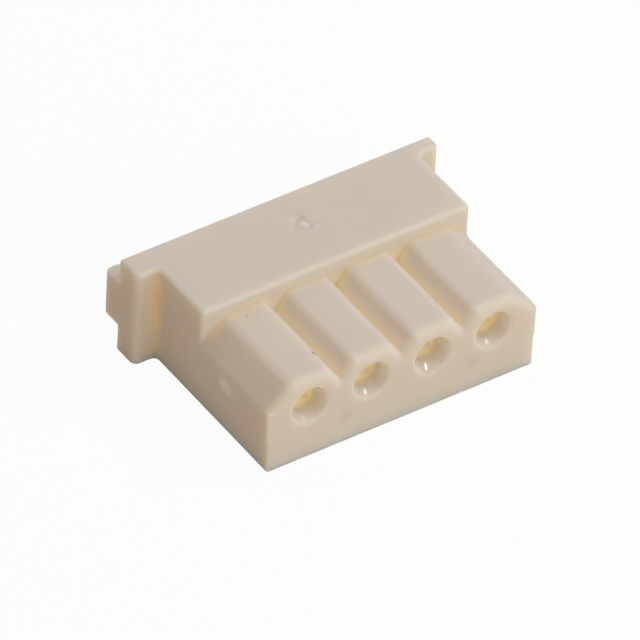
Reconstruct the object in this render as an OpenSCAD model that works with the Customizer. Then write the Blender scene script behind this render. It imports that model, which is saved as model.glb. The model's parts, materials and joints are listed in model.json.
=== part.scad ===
// Receptacle housing for crimp contacts, one nylon moulding.
// X runs along the row of circuits, Y from the pin face to the wire face, Z up from the flat underside.
// The origin is on the underside, at the middle of the width and of the depth over the ear ribs.

/* [Circuits] */
// Number of circuits in the row
circuits = 4; // [2:1:12]
// Distance between neighbouring circuits
pitch = 2.5; // [2.4:0.05:3]

/* [Body] */
// Length of the body from the pin face to the wire face
body_l = 8; // [7.5:0.1:10]
// Distance from an outer circuit's axis to the side of the body
end_wall = 1.75; // [1.55:0.05:2.2]
// Height of the flat sides, up to the foot of the outer ridges
side_h = 2.6; // [2.3:0.05:2.7]
// Height of the mould's parting line on the sides
parting_z = 1.3; // [0.5:0.1:2]
// How far the sides step in below the parting line
parting_step = 0.05; // [0.02:0.01:0.1]
// Radius of the long lower edges
foot_r = 0.12; // [0.05:0.01:0.3]

/* [Ridges] */
// Height of the ridges' flat tops
ridge_z = 3.5; // [3.4:0.05:3.6]
// Width of a ridge's flat top, before its edges are rounded
ridge_w = 1.55; // [1.3:0.05:1.7]
// Radius of the long upper edges of a ridge
ridge_edge_r = 0.15; // [0.1:0.05:0.3]
// Height of the floor between two ridges
valley_h = 2.9; // [2.8:0.05:3]
// Width of the floor between two ridges
valley_w = 0.12; // [0.06:0.02:0.3]
// Radius of the ridges' front edge
nose_r = 0.25; // [0.1:0.05:0.35]
// Bevel along the front of the ridges' flanks
flank_bevel = 0.12; // [0.04:0.02:0.2]

/* [Block] */
// Length of the thick block at the wire side
block_l = 3.8; // [3:0.1:4.5]
// Height of the block, which is the thickness of the housing
block_h = 4.05; // [3.95:0.05:5]
// How far the block's sides stand in from the body's
block_inset = 0.05; // [0.02:0.01:0.2]
// Radius of the block's upright edges
block_edge_r = 0.1; // [0.05:0.01:0.3]

/* [Ears] */
// How far the ears stand out from the sides of the body
ear_reach = 0.85; // [0.6:0.05:1.5]
// Thickness of the wide ear, along the body
wide_ear_t = 1.1; // [0.8:0.05:2]
// Thickness of the narrow ear, along the body
narrow_ear_t = 0.65; // [0.55:0.05:1.5]
// Radius of the ears' upright outer edges
ear_r = 0.25; // [0.1:0.05:0.27]
// How far the ear's rib stands out behind the wire face
rib_l = 0.9; // [0.6:0.1:1.5]
// Height of the rib's underside
rib_z = 1.05; // [0.5:0.05:1.5]
// Height of the rib itself
rib_h = 1.9; // [1:0.1:2.4]

/* [Pin entries] */
// Height of the pin entries' axes
pin_z = 2.27; // [2.15:0.01:2.4]
// Width of the square post that enters
post_w = 0.64; // [0.5:0.02:0.7]
// Clearance from the post's corners to the entry's wall
post_clear = 0.02; // [0.01:0.01:0.05]
// Radius of the lead-in at the pin face
lead_r = 0.75; // [0.6:0.01:0.8]
// Depth of the lead-in
lead_l = 0.42; // [0.2:0.02:0.6]
// Thickness of the front wall, with the lead-in
front_wall = 1.2; // [1:0.1:1.6]

/* [Contact cavities] */
// Wall between a cavity and the top of the ridge above it
ridge_wall = 0.4; // [0.35:0.05:0.45]
// Distance from a cavity's floor down from the pin axis
floor_drop = 0.95; // [0.8:0.05:1.1]
// Width of the crimp section
crimp_w = 1.95; // [1.8:0.05:2]
// Height of the crimp section
crimp_h = 2.3; // [2.2:0.05:2.4]
// Wall left between the crimp section and the front of the block
step_wall = 0.5; // [0.3:0.1:0.8]
// Chamfer round each mouth at the wire face
mouth_bevel = 0.2; // [0.1:0.01:0.22]

/* [Lance windows] */
// Width of a lance window
window_w = 1.1; // [0.8:0.1:1.4]
// Length of a lance window
window_l = 1.7; // [1.2:0.1:2.2]
// Distance from the pin face to a lance window
window_y = 2.9; // [2.4:0.1:3.4]

/* [Moulding marks] */
// Radius of the dished gate mark on the block
gate_r = 0.35; // [0.3:0.05:0.6]
// Radius of the gate stub inside its dish
stub_r = 0.15; // [0.1:0.05:0.25]
// Depth of the gate mark
gate_d = 0.06; // [0.02:0.01:0.1]
// Distance from the block's front to the gate mark
gate_y = 2.15; // [1:0.05:2.6]
// Radius of the ejector marks on the pin face
ejector_r = 0.35; // [0.2:0.05:0.45]
// Depth of the ejector marks
ejector_d = 0.03; // [0.02:0.01:0.06]
// Height of the ejector marks on the pin face
ejector_z = 1.2; // [0.8:0.1:1.5]

/* [Hidden] */
$fn = 64;
cut = 0.5;                                    // how far cutting tools run past a face
sink = 0.2;                                   // how far joined forms reach into each other
row_l = (circuits - 1) * pitch;
half_w = row_l / 2 + end_wall;                // half the body's width
front_y = -(body_l + rib_l) / 2;              // pin face
rear_y = front_y + body_l;                    // wire face
block_y = rear_y - block_l;                   // front of the block
bore_r = post_w * sqrt(2) / 2 + post_clear;
arch_r = ridge_z - ridge_wall - pin_z;        // round roof of the box section
floor_z = pin_z - floor_drop;
crimp_y = block_y + step_wall;                // front end of the crimp section
box_y = front_y + front_wall;                 // front end of the box section
stub_h = 2 / 3 * gate_d;                      // height of the gate stub in its dish
ridge_l = body_l - block_l + sink;            // length of a ridge, which reaches into the block
inner_foot = [(pitch - valley_w) / 2, valley_h];
outer_foot = [end_wall, side_h];
function circuit_x(i) = -row_l / 2 + i * pitch;

// Extrudes a profile drawn in X and Z along Y
module along_y(y, l) {
    translate([0, y + l, 0])
        rotate([90, 0, 0])
            linear_extrude(l)
                children();
}

// Rectangle with its lower left corner at the origin and four round corners
module round_rect(w, l, r) {
    translate([r, 0])
        square([w - 2 * r, l]);
    translate([0, r])
        square([w, l - 2 * r]);
    for (x = [r, w - r], y = [r, l - r])
        translate([x, y])
            circle(r);
}

module each_circuit() {
    for (i = [0:circuits - 1])
        translate([circuit_x(i), 0, 0])
            children();
}

// Section across the body, with the step at the parting line
module body_section() {
    lower_w = 2 * (half_w - parting_step);
    translate([-lower_w / 2, 0])
        round_rect(lower_w, side_h, foot_r);
    translate([-half_w, parting_z])
        square([2 * half_w, side_h - parting_z]);
    translate([-row_l / 2, parting_z])
        square([row_l, valley_h - parting_z]);
}

// Half of a ridge's section, from its middle down to the foot of one flank
module half_ridge_section(foot) {
    top = [ridge_w / 2, ridge_z];
    fall = atan2(top.y - foot.y, foot.x - top.x);
    reach = ridge_edge_r * tan(fall / 2);
    centre = top - [reach, ridge_edge_r];
    polygon([
        [-sink, side_h - sink], [foot.x, side_h - sink], foot,
        top + reach * [cos(fall), -sin(fall)],
        centre, [centre.x, ridge_z], [-sink, ridge_z]
    ]);
    translate(centre)
        circle(ridge_edge_r);
}

// Side view of a ridge, with its rounded front edge
module ridge_side_view() {
    h = ridge_z - side_h + sink;
    translate([nose_r, 0])
        square([ridge_l - nose_r, h]);
    square([ridge_l, h - nose_r]);
    translate([nose_r, h - nose_r])
        circle(nose_r);
}

// Half of one ridge, with the bevelled front of its flank
module half_ridge(foot) {
    fall = atan2(ridge_z - foot.y, foot.x - ridge_w / 2);
    bevel = sqrt(2) * flank_bevel;
    difference() {
        intersection() {
            along_y(front_y, ridge_l)
                half_ridge_section(foot);
            translate([-2 * sink, front_y, side_h - sink])
                rotate([90, 0, 90])
                    linear_extrude(foot.x + 4 * sink)
                        ridge_side_view();
        }
        translate([foot.x, front_y, foot.y])
            rotate([0, fall, 0])
                rotate([45, 0, 0])
                    cube([4 * end_wall, bevel, bevel], center = true);
    }
}

// Ridge over circuit i, whose flanks reach down to the sides at the ends of the row
module ridge(i) {
    half_ridge(i == circuits - 1 ? outer_foot : inner_foot);
    mirror([1, 0, 0])
        half_ridge(i == 0 ? outer_foot : inner_foot);
}

module wire_block() {
    w = 2 * (half_w - block_inset);
    translate([-w / 2, block_y, foot_r])
        linear_extrude(block_h - foot_r)
            round_rect(w, block_l, block_edge_r);
}

// Ear on the +X side, with its rib behind the wire face
module ear(t) {
    reach = ear_reach + sink;
    translate([half_w - sink, rear_y - t, 0])
        linear_extrude(block_h)
            round_rect(reach, t, ear_r);
    translate([half_w, rear_y - sink - ear_r, rib_z])
        linear_extrude(rib_h)
            round_rect(ear_reach, sink + ear_r + rib_l, ear_r);
}

// Round entry for a post, with its conical lead-in
module pin_entry() {
    translate([0, front_y, pin_z])
        rotate([-90, 0, 0]) {
            translate([0, 0, -cut])
                cylinder(h = front_wall + 2 * cut, r = bore_r);
            cylinder(h = lead_l, r1 = lead_r, r2 = bore_r);
        }
}

// Arched box section, which holds the contact's spring box
module box_section() {
    along_y(box_y, crimp_y - box_y + cut) {
        translate([0, pin_z])
            circle(arch_r);
        translate([-arch_r, floor_z])
            square([2 * arch_r, floor_drop]);
    }
}

// Wider section for the crimped wire, with a chamfered mouth
module crimp_section() {
    along_y(crimp_y, rear_y - crimp_y + cut)
        translate([-crimp_w / 2, floor_z])
            square([crimp_w, crimp_h]);
    intersection() {
        along_y(rear_y - mouth_bevel, mouth_bevel + cut)
            translate([-crimp_w / 2 - mouth_bevel, floor_z - mouth_bevel])
                square([crimp_w + 2 * mouth_bevel, crimp_h + 2 * mouth_bevel]);
        translate([0, rear_y, floor_z - cut])
            linear_extrude(crimp_h + 2 * cut)
                mouth_taper(crimp_w / 2);
        translate([pitch / 2, rear_y, floor_z + crimp_h / 2])
            rotate([0, -90, 0])
                linear_extrude(pitch)
                    mouth_taper(crimp_h / 2);
    }
}

// Outline that widens by the mouth's chamfer up to the wire face at y = 0
module mouth_taper(half) {
    wide = half + mouth_bevel;
    polygon([
        [-half, -mouth_bevel], [-wide, 0], [-wide, cut],
        [wide, cut], [wide, 0], [half, -mouth_bevel]
    ]);
}

// Window in the underside, where the contact's lance catches
module lance_window() {
    translate([-window_w / 2, front_y + window_y, -cut])
        cube([window_w, window_l, floor_z + 2 * cut]);
}

module gate_mark() {
    translate([0, block_y + gate_y, block_h - gate_d])
        difference() {
            cylinder(h = cut, r = gate_r);
            translate([0, 0, -cut])
                cylinder(h = cut + stub_h, r = stub_r);
        }
}

// Ejector marks on the pin face, under the first and the last valley
module ejector_marks() {
    for (s = [-1, 1])
        translate([s * (row_l - pitch) / 2, front_y + ejector_d, ejector_z])
            rotate([90, 0, 0])
                cylinder(h = cut, r = ejector_r);
}

module housing() {
    color("ivory")
        difference() {
            union() {
                along_y(front_y, body_l)
                    body_section();
                for (i = [0:circuits - 1])
                    translate([circuit_x(i), 0, 0])
                        ridge(i);
                wire_block();
                ear(narrow_ear_t);
                mirror([1, 0, 0])
                    ear(wide_ear_t);
            }
            each_circuit() {
                pin_entry();
                box_section();
                crimp_section();
                lance_window();
            }
            gate_mark();
            ejector_marks();
        }
}

housing();
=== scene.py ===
"""Looks of a wire to board connector housing: one ivory nylon moulding, drawn in millimetres."""

import json
import logging
import math
from collections.abc import Callable, Sequence
from dataclasses import dataclass, field
from enum import Enum

import bpy
import numpy as np
from mathutils import Matrix, Vector


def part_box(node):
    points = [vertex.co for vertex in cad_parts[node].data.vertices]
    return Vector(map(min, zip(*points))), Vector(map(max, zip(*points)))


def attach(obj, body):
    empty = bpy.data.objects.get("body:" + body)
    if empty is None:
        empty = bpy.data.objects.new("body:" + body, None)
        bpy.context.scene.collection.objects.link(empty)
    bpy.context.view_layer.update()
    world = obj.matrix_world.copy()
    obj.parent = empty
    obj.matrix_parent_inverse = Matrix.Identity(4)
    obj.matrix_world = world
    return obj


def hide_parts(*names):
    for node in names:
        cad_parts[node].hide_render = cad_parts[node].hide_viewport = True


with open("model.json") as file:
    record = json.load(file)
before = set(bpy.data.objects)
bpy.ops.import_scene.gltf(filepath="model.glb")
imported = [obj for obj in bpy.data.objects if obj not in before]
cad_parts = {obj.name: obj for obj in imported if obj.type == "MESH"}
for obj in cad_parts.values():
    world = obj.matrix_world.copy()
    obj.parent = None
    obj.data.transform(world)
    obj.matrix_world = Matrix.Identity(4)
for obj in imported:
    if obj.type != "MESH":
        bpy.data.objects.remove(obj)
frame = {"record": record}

log = logging.getLogger("housing")

Array = np.ndarray
Distance = Callable[[Array, Array, Array], Array]
Triple = tuple[float, float, float]
Colour = tuple[float, float, float, float]

MM = 0.001
SPARE = 1.0  # how far a form runs on past the face that trims it
BEYOND = 9.0  # further out than any face of the housing


# ---------------------------------------------------------------- forms

def soft_min(a: Array, b: Array, r: float) -> Array:
    """Joins two distances with a round fillet.

    Args:
        a: Distances to the first form.
        b: Distances to the second form.
        r: Radius of the fillet, or 0 for none.

    Returns:
        Distances to the joined form.
    """
    if r <= 0:
        return np.minimum(a, b)
    return np.maximum(np.minimum(a, b), r) - np.hypot(np.maximum(r - a, 0), np.maximum(r - b, 0))


class Form:
    """A solid form, held as its signed distance in millimetres, which is below nought inside."""

    def __init__(self, distance: Distance) -> None:
        """Keeps the distance function."""
        self.at = distance

    def join(self, other: "Form", fillet: float = 0.0) -> "Form":
        """Adds another form, with an inner corner of that radius where the two meet."""
        return Form(lambda x, y, z: soft_min(self.at(x, y, z), other.at(x, y, z), fillet))

    def meet(self, other: "Form", edge: float = 0.0) -> "Form":
        """Keeps what both forms hold, with an edge of that radius where their surfaces cross."""
        return Form(lambda x, y, z: -soft_min(-self.at(x, y, z), -other.at(x, y, z), edge))

    def cut(self, other: "Form", edge: float = 0.0) -> "Form":
        """Takes another form away, with a rim of that radius."""
        return Form(lambda x, y, z: -soft_min(-self.at(x, y, z), other.at(x, y, z), edge))


def span(axis: int, low: float, high: float) -> Form:
    """Makes the layer between two planes.

    Args:
        axis: 0, 1 or 2 for X, Y or Z.
        low: Place of the lower plane.
        high: Place of the upper plane.

    Returns:
        The layer.
    """
    middle, half = (low + high) / 2, (high - low) / 2
    return Form(lambda *p: np.abs(p[axis] - middle) - half)


def block(low: Sequence[float], high: Sequence[float], edge: float) -> Form:
    """Makes a box with round edges.

    Args:
        low: Lowest corner.
        high: Highest corner.
        edge: Radius of all its edges.

    Returns:
        The box.
    """
    def distance(x: Array, y: Array, z: Array) -> Array:
        """Measures to the box.

        Args:
            x: Places in X.
            y: Places in Y.
            z: Places in Z.

        Returns:
            Distances.
        """
        q = [np.abs(p - (a + b) / 2) - (b - a) / 2 + edge for p, a, b in zip((x, y, z), low, high)]
        out = np.sqrt(sum(np.maximum(v, 0) ** 2 for v in q))
        return out + np.minimum(np.maximum(np.maximum(q[0], q[1]), q[2]), 0) - edge
    return Form(distance)


def upright(low: Sequence[float], high: Sequence[float], corner: float, edge: float) -> Form:
    """Makes a box whose upright edges have a radius of their own.

    Args:
        low: Lowest corner.
        high: Highest corner.
        corner: Radius of the upright edges.
        edge: Radius of the top and bottom edges.

    Returns:
        The box.
    """
    def plan(x: Array, y: Array, z: Array) -> Array:
        """Measures to the outline seen from above.

        Args:
            x: Places in X.
            y: Places in Y.
            z: Places in Z, which make no difference.

        Returns:
            Distances.
        """
        q = [np.abs(p - (a + b) / 2) - (b - a) / 2 + corner for p, a, b in zip((x, y), low, high)]
        return np.hypot(np.maximum(q[0], 0), np.maximum(q[1], 0)) + np.minimum(np.maximum(*q), 0) - corner
    return Form(plan).meet(span(2, low[2], high[2]), edge)


def half_space(x0: float, z0: float, fall: float) -> Form:
    """Keeps what lies under a plane that runs along Y.

    Args:
        x0: Place in X of a line on the plane.
        z0: Place in Z of the same line.
        fall: How far the plane falls away per unit of X.

    Returns:
        The space under the plane.
    """
    steep = 1 / math.hypot(1, fall)
    return Form(lambda x, y, z: (z - z0 + (x - x0) * fall) * steep)


def rod(x0: float, z0: float, radius: float) -> Form:
    """Makes an endless round rod along Y.

    Args:
        x0: Place of its axis in X.
        z0: Place of its axis in Z.
        radius: Radius of the rod.

    Returns:
        The rod.
    """
    return Form(lambda x, y, z: np.hypot(x - x0, z - z0) - radius)


# ---------------------------------------------------------------- mesh

def even(stops: Sequence[float], narrow: float, wide: float) -> Array:
    """Spaces lines evenly between stops, in turn narrow and wide.

    Args:
        stops: The places where the spacing changes.
        narrow: The spacing of the first stretch, and of every second one after it.
        wide: The spacing of the others.

    Returns:
        The places of the lines.
    """
    steps = [narrow, wide] * len(stops)
    parts = [np.linspace(a, b, max(2, round((b - a) / step) + 1))
             for a, b, step in zip(stops, stops[1:], steps)]
    return np.unique(np.concatenate(parts).round(6))


@dataclass
class Skin:
    """Closed surface of a form, found on a grid of cells and then drawn onto the form itself."""

    form: Form
    lines: tuple[Array, Array, Array]  # the grid's lines across X, Y and Z
    outer: Form  # the form without its holes, under which depths are measured
    settle: int = 3  # rounds in which the points move onto the form
    probe: float = 0.004  # how far to each side a slope is felt
    feeler: float = 0.45  # how far round a point the form is felt
    full_depth: float = 1.0  # depth under the outer form where "inner" is 1

    def crossings(self) -> tuple[Array, Array, Array]:
        """Finds one point in each cell that the surface passes through.

        Returns:
            Points, the number of each cell's point (-1 for none), and the grid's distances.
        """
        n = [len(v) for v in self.lines]
        d = np.broadcast_to(self.form.at(*np.ix_(*self.lines)), n)
        total = np.zeros((*[k - 1 for k in n], 3))
        count = np.zeros([k - 1 for k in n])
        for axis in range(3):
            one, two = [k for k in range(3) if k != axis]
            a, b = np.moveaxis(d, axis, 0)[:-1], np.moveaxis(d, axis, 0)[1:]
            hit = (a < 0) != (b < 0)
            share = np.where(hit, a / np.where(hit, a - b, 1), 0)
            line = self.lines[axis].reshape(-1, 1, 1)
            along = np.where(hit, line[:-1] + share * np.diff(line, axis=0), 0)
            cells, counts = np.moveaxis(total, axis, 0), np.moveaxis(count, axis, 0)
            for p, q in np.ndindex(2, 2):
                rows, columns = slice(p, n[one] - 1 + p), slice(q, n[two] - 1 + q)
                here = hit[:, rows, columns]
                cells[..., axis] += along[:, rows, columns]
                cells[..., one] += here * self.lines[one][rows].reshape(1, -1, 1)
                cells[..., two] += here * self.lines[two][columns].reshape(1, 1, -1)
                counts += here
        used = count > 0
        number = np.full(used.shape, -1)
        number[used] = np.arange(int(used.sum()))
        return total[used] / count[used][:, None], number, d

    @staticmethod
    def faces(number: Array, d: Array) -> Array:
        """Joins the points of the four cells round each crossed grid edge.

        Args:
            number: The number of each cell's point.
            d: The grid's distances.

        Returns:
            Rows of four point numbers, turning outwards.
        """
        out = []
        for axis in range(3):
            m, e = np.moveaxis(number, axis, 0), np.moveaxis(d, axis, 0)
            a, b = e[:-1, 1:-1, 1:-1] < 0, e[1:, 1:-1, 1:-1] < 0
            ring = [m[:, :-1, :-1], m[:, 1:, :-1], m[:, 1:, 1:], m[:, :-1, 1:]]
            for where, turned in ((a & ~b, axis == 1), (b & ~a, axis != 1)):
                quad = np.stack([r[where] for r in ring], axis=1)
                out.append(quad[:, ::-1] if turned else quad)
        return np.concatenate(out)

    def slope(self, points: Array) -> tuple[Array, Array]:
        """Measures the distance at points and the direction in which it grows.

        Args:
            points: Rows of X, Y and Z.

        Returns:
            Distances, and unit directions.
        """
        at = self.form.at
        grown = [at(*(points + move).T) - at(*(points - move).T) for move in self.probe * np.eye(3)]
        way = np.stack(grown, axis=1)
        return at(*points.T), way / np.maximum(np.linalg.norm(way, axis=1, keepdims=True), 1e-9)

    def shade_hollow(self, points: Array) -> Array:
        """Measures how much of the form stands round each point of the surface, as the mask of painted shade
        and glow in inner corners.

        Args:
            points: Rows of X, Y and Z.

        Returns:
            0 on an open face or an outer edge, 1 in a square inner corner.
        """
        ways = np.array([w for w in np.ndindex(3, 3, 3) if w != (1, 1, 1)], float) - 1
        ways /= np.linalg.norm(ways, axis=1, keepdims=True)
        full = [0.5 - self.form.at(*(points + way * self.feeler).T) / self.feeler for way in ways]
        # their mean is a half on an open face, and three quarters in a square inner corner
        return np.clip(4 * np.mean(np.clip(full, 0, 1), axis=0) - 2, 0, 1)

    def mesh(self, name: str) -> bpy.types.Mesh:
        """Builds the Blender mesh.

        Args:
            name: Name of the mesh.

        Returns:
            The mesh, in metres, with the form's own normals.
        """
        points, number, d = self.crossings()
        reach = 0.5 * min(float(np.diff(v).min()) for v in self.lines)
        for _ in range(self.settle):
            off, way = self.slope(points)
            points = points - np.clip(off, -reach, reach)[:, None] * way
        _, way = self.slope(points)
        mesh = bpy.data.meshes.new(name)
        mesh.from_pydata((points * MM).tolist(), [], self.faces(number, d).tolist())
        mesh.update()
        mesh.shade_smooth()
        mesh.normals_split_custom_set_from_vertices(way.tolist())
        inner = np.clip(-self.outer.at(*points.T) / self.full_depth, 0, 1)
        for paint, value in (("shade_hollow", self.shade_hollow(points)), ("inner", inner)):
            mesh.attributes.new(paint, "FLOAT", "POINT").data.foreach_set("value", value)
        return mesh


# ---------------------------------------------------------------- shading

class Ease(Enum):
    """How a ramp runs between its two ends."""

    STRAIGHT = "LINEAR"
    SOFT = "SMOOTHSTEP"


class Wire:
    """One output of a node, which takes part in sums as a number does."""

    def __init__(self, shader: "Shader", made: bpy.types.Node, out: int | str) -> None:
        """Keeps the node, and which of its outputs is meant."""
        self.shader, self.made, self.out = shader, made, out

    def beside(self, out: int | str) -> "Wire":
        """Takes another output of the same node."""
        return Wire(self.shader, self.made, out)

    def ramp(self, empty: float, full: float, most: "Wire | float" = 1.0,
             ease: Ease = Ease.STRAIGHT) -> "Wire":
        """Turns the value into a share, from nought at one value to the most at another."""
        sockets = {"Value": self, "From Min": empty, "From Max": full, "To Max": most}
        return self.shader.node("ShaderNodeMapRange", {"interpolation_type": ease.value}, sockets)

    def _math(self, kind: str, *values: "Wire | float") -> "Wire":
        """Adds a Math node."""
        return self.shader.node("ShaderNodeMath", {"operation": kind}, dict(enumerate(values)))

    def __add__(self, other: "Wire | float") -> "Wire":
        """Adds."""
        return self._math("ADD", self, other)

    def __radd__(self, other: float) -> "Wire":
        """Adds to a number."""
        return self._math("ADD", other, self)

    def __sub__(self, other: "Wire | float") -> "Wire":
        """Takes away."""
        return self._math("SUBTRACT", self, other)

    def __rsub__(self, other: float) -> "Wire":
        """Takes from a number."""
        return self._math("SUBTRACT", other, self)

    def __mul__(self, other: "Wire | float") -> "Wire":
        """Multiplies."""
        return self._math("MULTIPLY", self, other)

    def __rmul__(self, other: float) -> "Wire":
        """Multiplies a number."""
        return self._math("MULTIPLY", other, self)


class Shader:
    """Node tree of a material or of the room."""

    def __init__(self, owner: bpy.types.ID) -> None:
        """Takes over a node tree and empties it.

        Args:
            owner: The material or the room that the tree belongs to.
        """
        owner.use_nodes = True
        self.owner, self.tree = owner, owner.node_tree
        self.tree.nodes.clear()

    def node(self, kind: str, settings: dict[str, object] | None = None,
             sockets: dict[int | str, object] | None = None, out: int | str = 0) -> Wire:
        """Adds a node of any type.

        Args:
            kind: The node's type.
            settings: Its own settings, set before its sockets.
            sockets: A value or a Wire for each input, by name or number.
            out: The output that is wanted.

        Returns:
            The output as a Wire.
        """
        made = self.tree.nodes.new(kind)
        for key, value in (settings or {}).items():
            setattr(made, key, value)
        for key, value in (sockets or {}).items():
            if isinstance(value, Wire):
                self.tree.links.new(value.made.outputs[value.out], made.inputs[key])
            else:
                made.inputs[key].default_value = value
        return Wire(self, made, out)

    def vector(self, kind: str, *values: object, out: int | str = 0) -> Wire:
        """Adds a Vector Math node."""
        return self.node("ShaderNodeVectorMath", {"operation": kind}, dict(enumerate(values)), out)

    def mix(self, share: Wire | float, a: object, b: object) -> Wire:
        """Mixes two colours, with that share of the second."""
        # a Mix node has sockets for numbers, vectors and colours, and those for colours are 6, 7 and 2
        return self.node("ShaderNodeMix", {"data_type": "RGBA"}, {0: share, 6: a, 7: b}, 2)

    def finish(self, surface: Wire) -> bpy.types.ID:
        """Ends the tree with its surface.

        Args:
            surface: The shader that the surface takes.

        Returns:
            The material or the room.
        """
        owner = "World" if isinstance(self.owner, bpy.types.World) else "Material"
        self.node("ShaderNodeOutput" + owner, {}, {"Surface": surface})
        return self.owner


@dataclass(frozen=True)
class StainOrGlow:
    """A small spot of colour on the skin, in millimetres: a real stain or mark, or painted glow."""

    place: Triple
    radius: float
    colour: Colour
    strength: float
    reach: Triple = (1.0, 1.0, 1.0)  # how far it is drawn out along each axis
    core: float = 0.4  # share of the radius that has its full strength

    def over(self, s: Shader, position: Wire, colour: Wire) -> Wire:
        """Lays the spot over a colour.

        Args:
            s: The shader it is part of.
            position: Where the shaded point lies.
            colour: The colour underneath.

        Returns:
            The colour with the spot.
        """
        offset = s.vector("SUBTRACT", position, tuple(v * MM for v in self.place))
        away = s.vector("LENGTH", s.vector("DIVIDE", offset, self.reach), out="Value")
        share = away.ramp(self.radius * MM, self.core * self.radius * MM, self.strength, Ease.SOFT)
        return s.mix(share, colour, self.colour)


@dataclass(frozen=True)
class NaturalNylon:
    """Unfilled nylon as it comes from the mould: ivory, slightly see-through, with a satin skin, and with
    painted warm shade and glow in its holes and inner corners.
    """

    body: Colour = (0.75, 0.70, 0.61, 1)
    warm: Colour = (0.74, 0.68, 0.575, 1)  # where the body clouds over
    deep: Colour = (0.90, 0.76, 0.50, 1)  # painted warm shade in holes and inner corners, for light that has come far through the plastic
    deep_shade_from: tuple[float, float] = (0.35, 0.9)  # depths where that painted shade begins and is full
    corner_shade_share: float = 0.6
    speck: Colour = (0.34, 0.24, 0.14, 1)
    speck_share: float = 0.35
    speck_size: tuple[float, float] = (0.085, 0.06)
    speck_fray: float = 0.12
    leak: Colour = (0.19, 0.195, 0.15, 1)  # light that comes through the walls into a hole
    corner: Colour = (0.05, 0.042, 0.022, 1)  # light that comes through into an inner corner
    dark: Colour = (0, 0, 0, 1)
    depth: float = 1.1 * MM
    scatter: Triple = (1.0, 0.75, 0.5)
    refraction: float = 1.53
    shine: float = 0.3
    roughness: float = 0.52
    uneven: float = 0.16
    polished: float = 0.84  # share of the roughness that a polished lead-in lacks
    polish_from: tuple[float, float] = (0.02, 0.08)  # depths where the polish begins and is full
    polish_to: tuple[float, float] = (0.5, 0.4)  # depths where it has ended and is still full
    cloud: tuple[float, float] = (260.0, 3.0)  # scale and detail of the clouds
    flow: tuple[float, float] = (900.0, 4.0)  # and of the flow marks
    grain: tuple[float, float] = (9000.0, 5.0)  # and of the satin grain
    cells: float = 1500.0  # scale of the cells that hold the specks
    grain_share: float = 0.4
    bump: float = 0.35
    bump_height: float = 0.02 * MM
    stains_and_glow: tuple[StainOrGlow, ...] = (
        # dark fleck beside the first ridge, and a faint one on top of it
        StainOrGlow((-2.93, -3.3, 3.42), 0.13, (0.25, 0.15, 0.06, 1), 0.8),
        StainOrGlow((-3.88, -0.63, 3.5), 0.1, (0.55, 0.35, 0.25, 1), 0.3),
        # brown spots at the ejector marks
        StainOrGlow((-2.23, -4.45, 1.17), 0.32, (0.66, 0.52, 0.38, 1), 0.3),
        StainOrGlow((2.92, -4.45, 1.27), 0.32, (0.66, 0.52, 0.38, 1), 0.3),
        # pale spot on the left side, and painted yellow glow in the inner corner before the left ear
        StainOrGlow((-5.45, -1.85, 1.98), 0.42, (0.97, 0.93, 0.88, 1), 0.6, (1.0, 1.3, 1.0)),
        # painted glow: yellow light in the inner corner before the left ear, drawn out upward
        StainOrGlow((-5.7, 2.4, 2.5), 0.5, (0.9, 0.75, 0.42, 1), 0.35, (1.0, 1.0, 4.0)),
        # pale and brown spots at the gate mark
        StainOrGlow((0.1, 1.85, 4.05), 0.22, (0.92, 0.9, 0.88, 1), 0.5),
        StainOrGlow((-0.25, 2.2, 4.05), 0.3, (0.85, 0.8, 0.74, 1), 0.25),
        StainOrGlow((0.15, 2.25, 4.05), 0.25, (0.6, 0.47, 0.34, 1), 0.25),
        # pale nibs
        StainOrGlow((2.46, -4.45, 0.1), 0.16, (0.95, 0.92, 0.88, 1), 0.6),
        StainOrGlow((-2.54, -4.45, 0.1), 0.16, (0.95, 0.92, 0.88, 1), 0.6),
    )

    def build(self) -> bpy.types.Material:
        """Makes the material.

        Returns:
            The material.
        """
        s = Shader(bpy.data.materials.new("natural_nylon"))
        place = s.node("ShaderNodeTexCoord", out="Object")
        shade_hollow, inner = (s.node("ShaderNodeAttribute", {"attribute_name": name}, out="Fac")
                         for name in ("shade_hollow", "inner"))
        cloud, flow, grain = (
            s.node("ShaderNodeTexNoise", {}, {"Vector": place, "Scale": scale, "Detail": detail}, "Fac")
            for scale, detail in (self.cloud, self.flow, self.grain))
        cells = s.node("ShaderNodeTexVoronoi", {}, {"Vector": place, "Scale": self.cells}, "Distance")
        polish = inner.ramp(*self.polish_from, inner.ramp(*self.polish_to))
        # depth in the holes, the mask of painted warm shade and glow there
        deep = inner.ramp(*self.deep_shade_from, ease=Ease.SOFT)
        specks = (cells + cloud * self.speck_fray).ramp(*self.speck_size)
        colour = s.mix(cloud, self.body, self.warm)
        # painted warm shade in inner corners, and deeper in the holes
        colour = s.mix(shade_hollow * self.corner_shade_share, colour, self.deep)
        colour = s.mix(deep, colour, self.deep)
        colour = s.mix(specks * self.speck_share, colour, self.speck)
        # real stains and marks, and the painted glow before the left ear
        for stain_or_glow in self.stains_and_glow:
            colour = stain_or_glow.over(s, place, colour)
        height = (grain * self.grain_share + flow * (1 - self.grain_share)) * (1 - polish)
        # painted glow: the skin emits light in holes and inner corners, for light that comes through the
        # walls
        glow = s.mix(deep * deep, s.mix(shade_hollow, self.dark, self.corner), self.leak)
        return s.finish(s.node("ShaderNodeBsdfPrincipled", {}, {
            "Base Color": colour,
            "Roughness": (self.roughness + flow * self.uneven) * (1 - polish * self.polished),
            "Normal": s.node("ShaderNodeBump", {}, {
                "Strength": self.bump, "Distance": self.bump_height, "Height": height}),
            "IOR": self.refraction,
            "Specular IOR Level": self.shine,
            "Subsurface Weight": 1.0,
            "Subsurface Radius": self.scatter,
            "Subsurface Scale": self.depth,
            "Emission Color": glow,
            "Emission Strength": 1.0,
        }))


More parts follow.
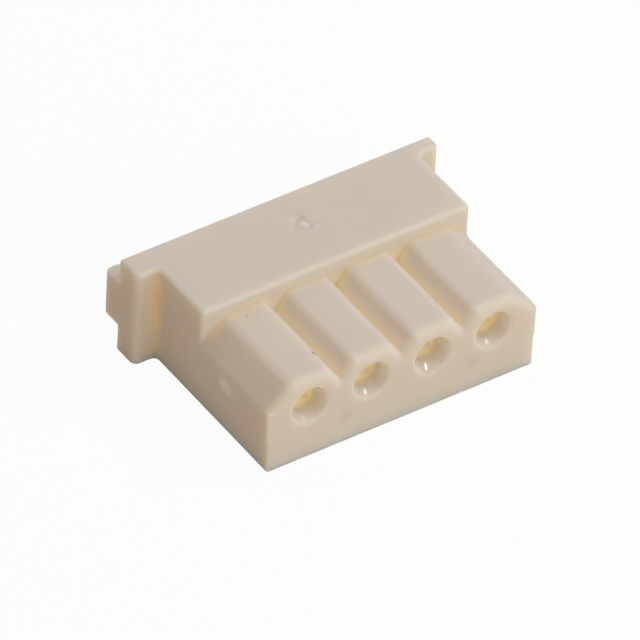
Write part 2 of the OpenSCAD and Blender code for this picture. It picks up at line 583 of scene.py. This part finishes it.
@dataclass(frozen=True)
class PaleTable:
    """White table that shows as white and still takes the object's shadow."""

    colour: Colour = (0.9, 0.83, 0.72, 1)
    white: Colour = (1, 1, 1, 1)
    glow: float = 0.95  # how much of the table shows as plain white

    def build(self) -> bpy.types.Material:
        """Makes the material.

        Returns:
            The material.
        """
        s = Shader(bpy.data.materials.new("pale_table"))
        seen = s.node("ShaderNodeLightPath", out="Is Camera Ray")
        share = (seen + seen.beside("Is Glossy Ray") + seen.beside("Is Transmission Ray")) * self.glow
        plain = s.node("ShaderNodeBsdfDiffuse", {}, {"Color": self.colour})
        bright = s.node("ShaderNodeEmission", {}, {"Color": self.white, "Strength": 1.0})
        return s.finish(s.node("ShaderNodeMixShader", {}, {0: share, 1: plain, 2: bright}))


# ---------------------------------------------------------------- the moulding

def put(name: str, data: bpy.types.ID) -> bpy.types.Object:
    """Puts a new object into the scene.

    Args:
        name: Name of the object.
        data: Its mesh, lamp or camera.

    Returns:
        The object.
    """
    made = bpy.data.objects.new(name, data)
    bpy.context.collection.objects.link(made)
    return made


class Side(Enum):
    """Which side of the body an ear stands on."""

    LEFT = -1
    RIGHT = 1


@dataclass
class Housing:
    """The one moulding, in millimetres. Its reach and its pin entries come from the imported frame.

    A sink is how far a form reaches into the one that it is joined to or cut with.
    """

    # body
    end_wall: float = 1.75
    side_h: float = 2.6
    parting_z: float = 1.3
    parting_step: float = 0.05
    edge: float = 0.08
    foot_r: float = 0.05
    # ridges and the valleys between them
    valley_h: float = 2.9
    valley_w: float = 0.12
    ridge_z: float = 3.5
    ridge_w: float = 1.55
    ridge_edge_r: float = 0.15
    nose_r: float = 0.34
    fillet: float = 0.12
    # block
    block_l: float = 3.8
    block_inset: float = 0.02
    block_sink: float = 0.2
    block_fillet: float = 0.1
    top_r: float = 0.14
    # ears and ribs
    ear_t: dict[Side, float] = field(default_factory=lambda: {Side.LEFT: 1.1, Side.RIGHT: 0.65})
    ear_r: float = 0.25
    ear_sink: float = 0.4
    ear_fillet: float = 0.22
    rib_l: float = 0.9
    rib_z: float = 1.05
    rib_h: float = 1.9
    rib_sink: float = 0.2
    # pin entries
    lead_r: float = 0.75
    lead_l: float = 0.42
    front_wall: float = 1.2
    throat_r: float = 0.06
    rim_r: float = 0.1
    # contact cavities and windows
    ridge_wall: float = 0.4
    floor_drop: float = 0.95
    crimp_w: float = 1.95
    crimp_h: float = 2.3
    crimp_r: float = 0.05
    step_wall: float = 0.5
    mouth_bevel: float = 0.2
    window_w: float = 1.1
    window_l: float = 1.7
    window_y: float = 2.9
    cavity_r: float = 0.04
    cavity_sink: float = 0.3
    # gate mark, ejector marks and nibs
    gate_x: float = 0.0
    gate_y: float = 2.15
    gate_r: float = 0.35
    gate_d: float = 0.055
    gate_tear: tuple[float, float] = (0.12, 0.08)
    dish_r: float = 0.08
    stub_r: float = 0.15
    stub_share: float = 2 / 3
    stub_edge_r: float = 0.06
    stub_foot_r: float = 0.05
    ejector_r: float = 0.35
    ejector_d: float = 0.02
    ejector_z: float = 1.2
    mark_edge_r: float = 0.02
    nib_r: float = 0.12
    nib_foot_r: float = 0.03
    # mesh
    cell: float = 0.068
    wide_cell: float = 0.2
    near: float = 0.2  # how far past a change of form the close lines reach
    pad_cells: float = 2.5

    def __post_init__(self) -> None:
        """Reads the reach and the pin entries from the frame, and works out the main places."""
        low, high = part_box("housing")
        self.low, self.high = [v / MM for v in low], [v / MM for v in high]
        entries = [m for m in frame["record"]["mounts"] if m["name"].startswith("pin_entry")]
        self.pins = [m["pos_m"][0] / MM for m in entries]
        self.pin_z = entries[0]["pos_m"][2] / MM
        self.bore_r = entries[0]["dims"]["r_mm"]
        self.front = self.low[1]
        self.rear = self.high[1] - self.rib_l
        self.top = self.high[2]
        self.half_w = max(self.pins) + self.end_wall
        self.block_y = self.rear - self.block_l
        self.mark_x = (max(self.pins) + self.pins[-2]) / 2

    def slab(self) -> Form:
        """Makes the slab under the ridges, left long at the rear and underneath.

        Returns:
            The slab, with its step at the parting line.
        """
        w = self.half_w - self.parting_step
        end = self.rear + SPARE
        lower = upright((-w, self.front, -SPARE), (w, end, self.side_h), self.edge, self.edge)
        upper = upright((-self.half_w, self.front, self.parting_z), (self.half_w, end, self.side_h),
                        self.edge, self.parting_step)
        return lower.join(upper)

    def ridge(self, x0: float) -> Form:
        """Makes one flat-topped ridge with its two flanks, which reach the sides at the ends of the row.

        Args:
            x0: Place of the circuit.

        Returns:
            The ridge.
        """
        half = (self.pins[1] - self.pins[0] - self.valley_w) / 2
        out = span(2, -SPARE, self.ridge_z)
        for turn in (-1, 1):
            last = turn * x0 > max(self.pins) - half
            foot_x, foot_z = (self.end_wall, self.side_h) if last else (half, self.valley_h)
            fall = (self.ridge_z - foot_z) / (foot_x - self.ridge_w / 2)
            out = out.meet(half_space(x0 + turn * foot_x, foot_z, turn * fall), self.ridge_edge_r)
        return out

    def ridges(self) -> Form:
        """Makes the row of ridges with their rounded fronts.

        Returns:
            The ridges.
        """
        out = self.ridge(self.pins[0])
        for x0 in self.pins[1:]:
            out = out.join(self.ridge(x0), self.fillet)
        sides = span(0, -self.half_w, self.half_w).meet(span(2, self.parting_z, self.top))
        return out.meet(sides, self.edge).meet(span(1, self.front, self.block_y + SPARE), self.nose_r)

    def wire_block(self) -> Form:
        """Makes the thick block at the wire side, left long at the rear and on top.

        Returns:
            The block.
        """
        w = self.half_w - self.block_inset
        return upright((-w, self.block_y, self.side_h - self.block_sink),
                       (w, self.rear + SPARE, self.top + SPARE), self.fillet, 0)

    def ear(self, side: Side) -> Form:
        """Makes an ear, left long at the rear, on top and underneath.

        Args:
            side: The side it stands on.

        Returns:
            The ear.
        """
        x = sorted((side.value * (self.half_w - self.ear_sink), side.value * self.high[0]))
        return upright((x[0], self.rear - self.ear_t[side], -SPARE),
                       (x[1], self.rear + SPARE, self.top + SPARE), self.ear_r, 0)

    def rib(self, side: Side) -> Form:
        """Makes the rib behind an ear.

        Args:
            side: The side it stands on.

        Returns:
            The rib.
        """
        x = sorted((side.value * self.half_w, side.value * self.high[0]))
        return upright((x[0], self.rear - self.ear_r - self.rib_sink, self.rib_z),
                       (x[1], self.high[1], self.rib_z + self.rib_h), self.ear_r, self.edge)

    def pin_entry(self, x0: float) -> Form:
        """Makes the round entry of one circuit, with its lead-in.

        Args:
            x0: Place of the circuit.

        Returns:
            The form to cut.
        """
        slope = (self.lead_r - self.bore_r) / self.lead_l
        steep = 1 / math.hypot(1, slope)

        def distance(x: Array, y: Array, z: Array) -> Array:
            """Measures to the entry.

            Args:
                x: Places in X.
                y: Places in Y.
                z: Places in Z.

            Returns:
                Distances.
            """
            away = np.hypot(x - x0, z - self.pin_z)
            deep = y - self.front
            cone = (away - self.lead_r + slope * deep) * steep
            bore = np.maximum(away - self.bore_r, deep - self.front_wall - self.cavity_sink)
            return soft_min(cone, bore, self.throat_r)
        return Form(distance)

    def cavity(self, x0: float) -> Form:
        """Makes the contact cavity of one circuit, with its window and its chamfered mouth.

        Args:
            x0: Place of the circuit.

        Returns:
            The form to cut.
        """
        arch = self.ridge_z - self.ridge_wall - self.pin_z
        floor = self.pin_z - self.floor_drop
        start, step, end = self.front + self.front_wall, self.block_y + self.step_wall, self.rear
        walls = block((x0 - arch, -BEYOND, floor), (x0 + arch, BEYOND, self.pin_z), self.cavity_r)
        box = rod(x0, self.pin_z, arch).join(walls)
        box = box.meet(span(1, start, step + self.cavity_sink), self.cavity_r)
        half, half_h = self.crimp_w / 2, self.crimp_h / 2
        crimp = block((x0 - half, step, floor), (x0 + half, end + SPARE, floor + self.crimp_h), self.crimp_r)

        def mouth(x: Array, y: Array, z: Array) -> Array:
            """Measures to the chamfer.

            Args:
                x: Places in X.
                y: Places in Y.
                z: Places in Z.

            Returns:
                Distances.
            """
            grow = y - end + self.mouth_bevel
            across = np.abs(x - x0) - half - grow
            updown = np.abs(z - floor - half_h) - half_h - grow
            return np.maximum(np.maximum(across, updown) * math.sqrt(0.5), -grow)
        near, wide = self.front + self.window_y, self.window_w / 2
        window = block((x0 - wide, near, -SPARE),
                       (x0 + wide, near + self.window_l, floor + self.cavity_sink), self.crimp_r)
        return box.join(crimp).join(Form(mouth)).join(window)

    def marks(self) -> Form:
        """Makes the dished gate mark with its stub, and the two ejector marks.

        Returns:
            The form to cut.
        """
        gate_y, gate_z = self.block_y + self.gate_y, self.top - self.gate_d
        stub_z = gate_z + self.gate_d * self.stub_share
        ball_r = (self.ejector_r ** 2 / self.ejector_d + self.ejector_d) / 2
        ball_y = self.front + self.ejector_d - ball_r

        def distance(x: Array, y: Array, z: Array) -> Array:
            """Measures to the marks.

            Args:
                x: Places in X.
                y: Places in Y.
                z: Places in Z.

            Returns:
                Distances.
            """
            turn = np.arctan2(y - gate_y, x - self.gate_x)
            torn = 1 + self.gate_tear[0] * np.sin(3 * turn + 1) + self.gate_tear[1] * np.sin(5 * turn)
            away = np.hypot(x - self.gate_x, y - gate_y) * torn
            dish = -soft_min(self.gate_r - away, z - gate_z, self.dish_r)
            stub = -soft_min(self.stub_r - away, stub_z - z, self.stub_edge_r)
            gate = -soft_min(-dish, stub, self.stub_foot_r)
            ball = np.sqrt((np.abs(x) - self.mark_x) ** 2 + (y - ball_y) ** 2 + (z - self.ejector_z) ** 2)
            return np.minimum(gate, ball - ball_r)
        return Form(distance)

    def nibs(self) -> Form:
        """Makes the two nibs that the mould leaves on the lower front edge.

        Returns:
            The nibs.
        """
        r = self.nib_r
        return Form(lambda x, y, z: np.sqrt(
            (np.abs(x) - self.mark_x) ** 2 + (y - self.front - r / 2) ** 2 + (z - r / 2) ** 2) - r)

    def outer(self) -> Form:
        """Puts the outside of the moulding together.

        Returns:
            The form without its pin entries and cavities.
        """
        out = self.slab().join(self.ridges()).join(self.wire_block(), self.block_fillet)
        for side in Side:
            out = out.join(self.ear(side), self.ear_fillet)
        out = out.meet(span(1, self.front - SPARE, self.rear), self.edge)
        out = out.meet(span(2, -BEYOND, self.top), self.top_r).meet(span(2, 0, BEYOND), self.foot_r)
        for side in Side:
            out = out.join(self.rib(side), self.parting_step)
        out = out.cut(self.marks(), self.mark_edge_r).join(self.nibs(), self.nib_foot_r)
        return out.meet(block(self.low, self.high, self.parting_step))

    def form(self) -> Form:
        """Opens the pin entries and the cavities.

        Returns:
            The whole form.
        """
        out = self.outer()
        for x0 in self.pins:
            out = out.cut(self.pin_entry(x0), self.rim_r).cut(self.cavity(x0), self.cavity_r)
        return out

    def grid(self) -> tuple[Array, Array, Array]:
        """Lays the grid lines: close together where the form changes, wide apart along plain stretches.

        Returns:
            The lines across X, Y and Z.
        """
        pad, near = self.pad_cells * self.cell, self.near
        across = [self.low[0] - pad, self.high[0] + pad]
        along = [
            self.front - pad, self.front + self.front_wall + near,
            self.front + self.window_y - near, self.front + self.window_y + near,
            self.block_y - near, self.block_y + self.step_wall + near,
            self.block_y + self.gate_y - self.gate_r - near, self.high[1] + pad,
        ]
        upward = [-pad, near, self.ejector_z - self.ejector_r - near / 2, self.top + pad]
        x, y, z = (even(stops, self.cell, self.wide_cell) for stops in (across, along, upward))
        return x, y, z

    def build(self, finish: bpy.types.Material) -> bpy.types.Object:
        """Builds and dresses the moulding.

        Args:
            finish: Its material.

        Returns:
            The piece.
        """
        name = "moulded_housing"
        piece = put(name, Skin(self.form(), self.grid(), self.outer()).mesh(name))
        piece.data.materials.append(finish)
        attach(piece, "root")
        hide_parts("housing")
        return piece


# ---------------------------------------------------------------- the studio

def bearing(azimuth: float, elevation: float) -> Vector:
    """Points from the housing to a place round it.

    Args:
        azimuth: Degrees from the pin side, growing to the right.
        elevation: Degrees above the table.

    Returns:
        The direction, one unit long.
    """
    a, e = math.radians(azimuth), math.radians(elevation)
    return Vector((math.sin(a) * math.cos(e), -math.cos(a) * math.cos(e), math.sin(e)))


@dataclass(frozen=True)
class Softbox:
    """A square lamp that looks at the housing."""

    name: str
    azimuth: float
    elevation: float
    size: float
    level: float
    colour: Triple = (1.0, 1.0, 1.0)
    distance: float = 0.12

    def build(self, aim: Vector) -> bpy.types.Object:
        """Hangs the lamp.

        Args:
            aim: The point it looks at.

        Returns:
            The lamp.
        """
        way = bearing(self.azimuth, self.elevation)
        lamp = bpy.data.lights.new(self.name, "AREA")
        lamp.size = self.size
        lamp.color = self.colour
        lamp.energy = self.level * self.distance ** 2 * math.pi ** 2  # as bright from any distance
        made = put(self.name, lamp)
        made.location = aim + way * self.distance
        made.rotation_mode = "QUATERNION"
        made.rotation_quaternion = (-way).to_track_quat("-Z", "Y")
        return made


@dataclass(frozen=True)
class Studio:
    """Pale table, soft lamps and the camera."""

    azimuth: float = -35.68
    elevation: float = 41.17
    roll: float = 3.15
    sensor: float = 36.0
    lens: float = 683.0
    clip: tuple[float, float] = (0.01, 10.0)
    distance: float = 414.5 * MM
    aim: Triple = (0, -0.45, 2.0)
    slide: tuple[float, float] = (-0.5993, -0.4274)
    table_half: float = 0.6
    table_drop: float = 0.02
    fill: Colour = (1.0, 0.68, 0.42, 1)
    ambient: float = 0.18
    wall: Colour = (0.8, 0.8, 0.8, 1)
    lamps: tuple[Softbox, ...] = (
        Softbox("strip", 71.5, 37.5, 0.014, 0.21, (0.75, 0.87, 1.0)),
        Softbox("top", 30, 82, 0.14, 0.45, (0.85, 0.89, 1.0)),
        Softbox("front", 5, 12, 0.14, 0.59),
        Softbox("back", 180, 35, 0.14, 0.31, (0.87, 0.91, 1.0)),
    )

    def table(self) -> bpy.types.Object:
        """Makes the table.

        Returns:
            The table.
        """
        h = self.table_half
        mesh = bpy.data.meshes.new("table")
        mesh.from_pydata([(-h, -h, 0), (h, -h, 0), (h, h, 0), (-h, h, 0)], [], [(0, 1, 2, 3)])
        mesh.materials.append(PaleTable().build())
        made = put("table", mesh)
        made.location.z = -self.table_drop * MM
        return made

    def room(self) -> bpy.types.World:
        """Fills the room with even light, and shows a pale wall behind the table.

        Returns:
            The room.
        """
        s = Shader(bpy.data.worlds.new("room"))
        seen = s.node("ShaderNodeLightPath", out="Is Camera Ray")
        fill = s.node("ShaderNodeBackground", {}, {"Color": self.fill, "Strength": self.ambient})
        wall = s.node("ShaderNodeBackground", {}, {"Color": self.wall, "Strength": 1.0})
        room = s.finish(s.node("ShaderNodeMixShader", {}, {0: seen, 1: fill, 2: wall}))
        bpy.context.scene.world = room
        return room

    def camera(self) -> bpy.types.Object:
        """Sets up the camera.

        Returns:
            The camera.
        """
        a, r = math.radians(self.azimuth), math.radians(self.roll)
        back = bearing(self.azimuth, self.elevation)
        right = Vector((math.cos(a), math.sin(a), 0))
        up = back.cross(right)
        across = right * math.cos(r) + up * math.sin(r)
        rise = up * math.cos(r) - right * math.sin(r)
        shift = across * self.slide[0] * MM + rise * self.slide[1] * MM
        lens = bpy.data.cameras.new("camera")
        lens.sensor_width = self.sensor
        lens.lens = self.lens
        lens.clip_start, lens.clip_end = self.clip
        made = put("camera", lens)
        made.rotation_mode = "QUATERNION"
        made.rotation_quaternion = Matrix((across, rise, back)).transposed().to_quaternion()
        made.location = Vector(self.aim) * MM + back * self.distance + shift
        bpy.context.scene.camera = made
        return made

    def build(self) -> list[bpy.types.ID]:
        """Sets up the whole studio.

        Returns:
            The table, the room, the lamps and the camera.
        """
        bpy.context.scene.view_settings.view_transform = "Standard"
        aim = Vector(self.aim) * MM
        return [self.table(), self.room(), *[lamp.build(aim) for lamp in self.lamps], self.camera()]


def main() -> None:
    """Builds the housing and the studio."""
    logging.basicConfig(level=logging.INFO)
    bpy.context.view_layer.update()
    piece = Housing().build(NaturalNylon().build())
    log.info("%s: %d faces", piece.name, len(piece.data.polygons))
    for made in Studio().build():
        log.info("%s: in place", made.name)


if __name__ == "__main__":
    main()
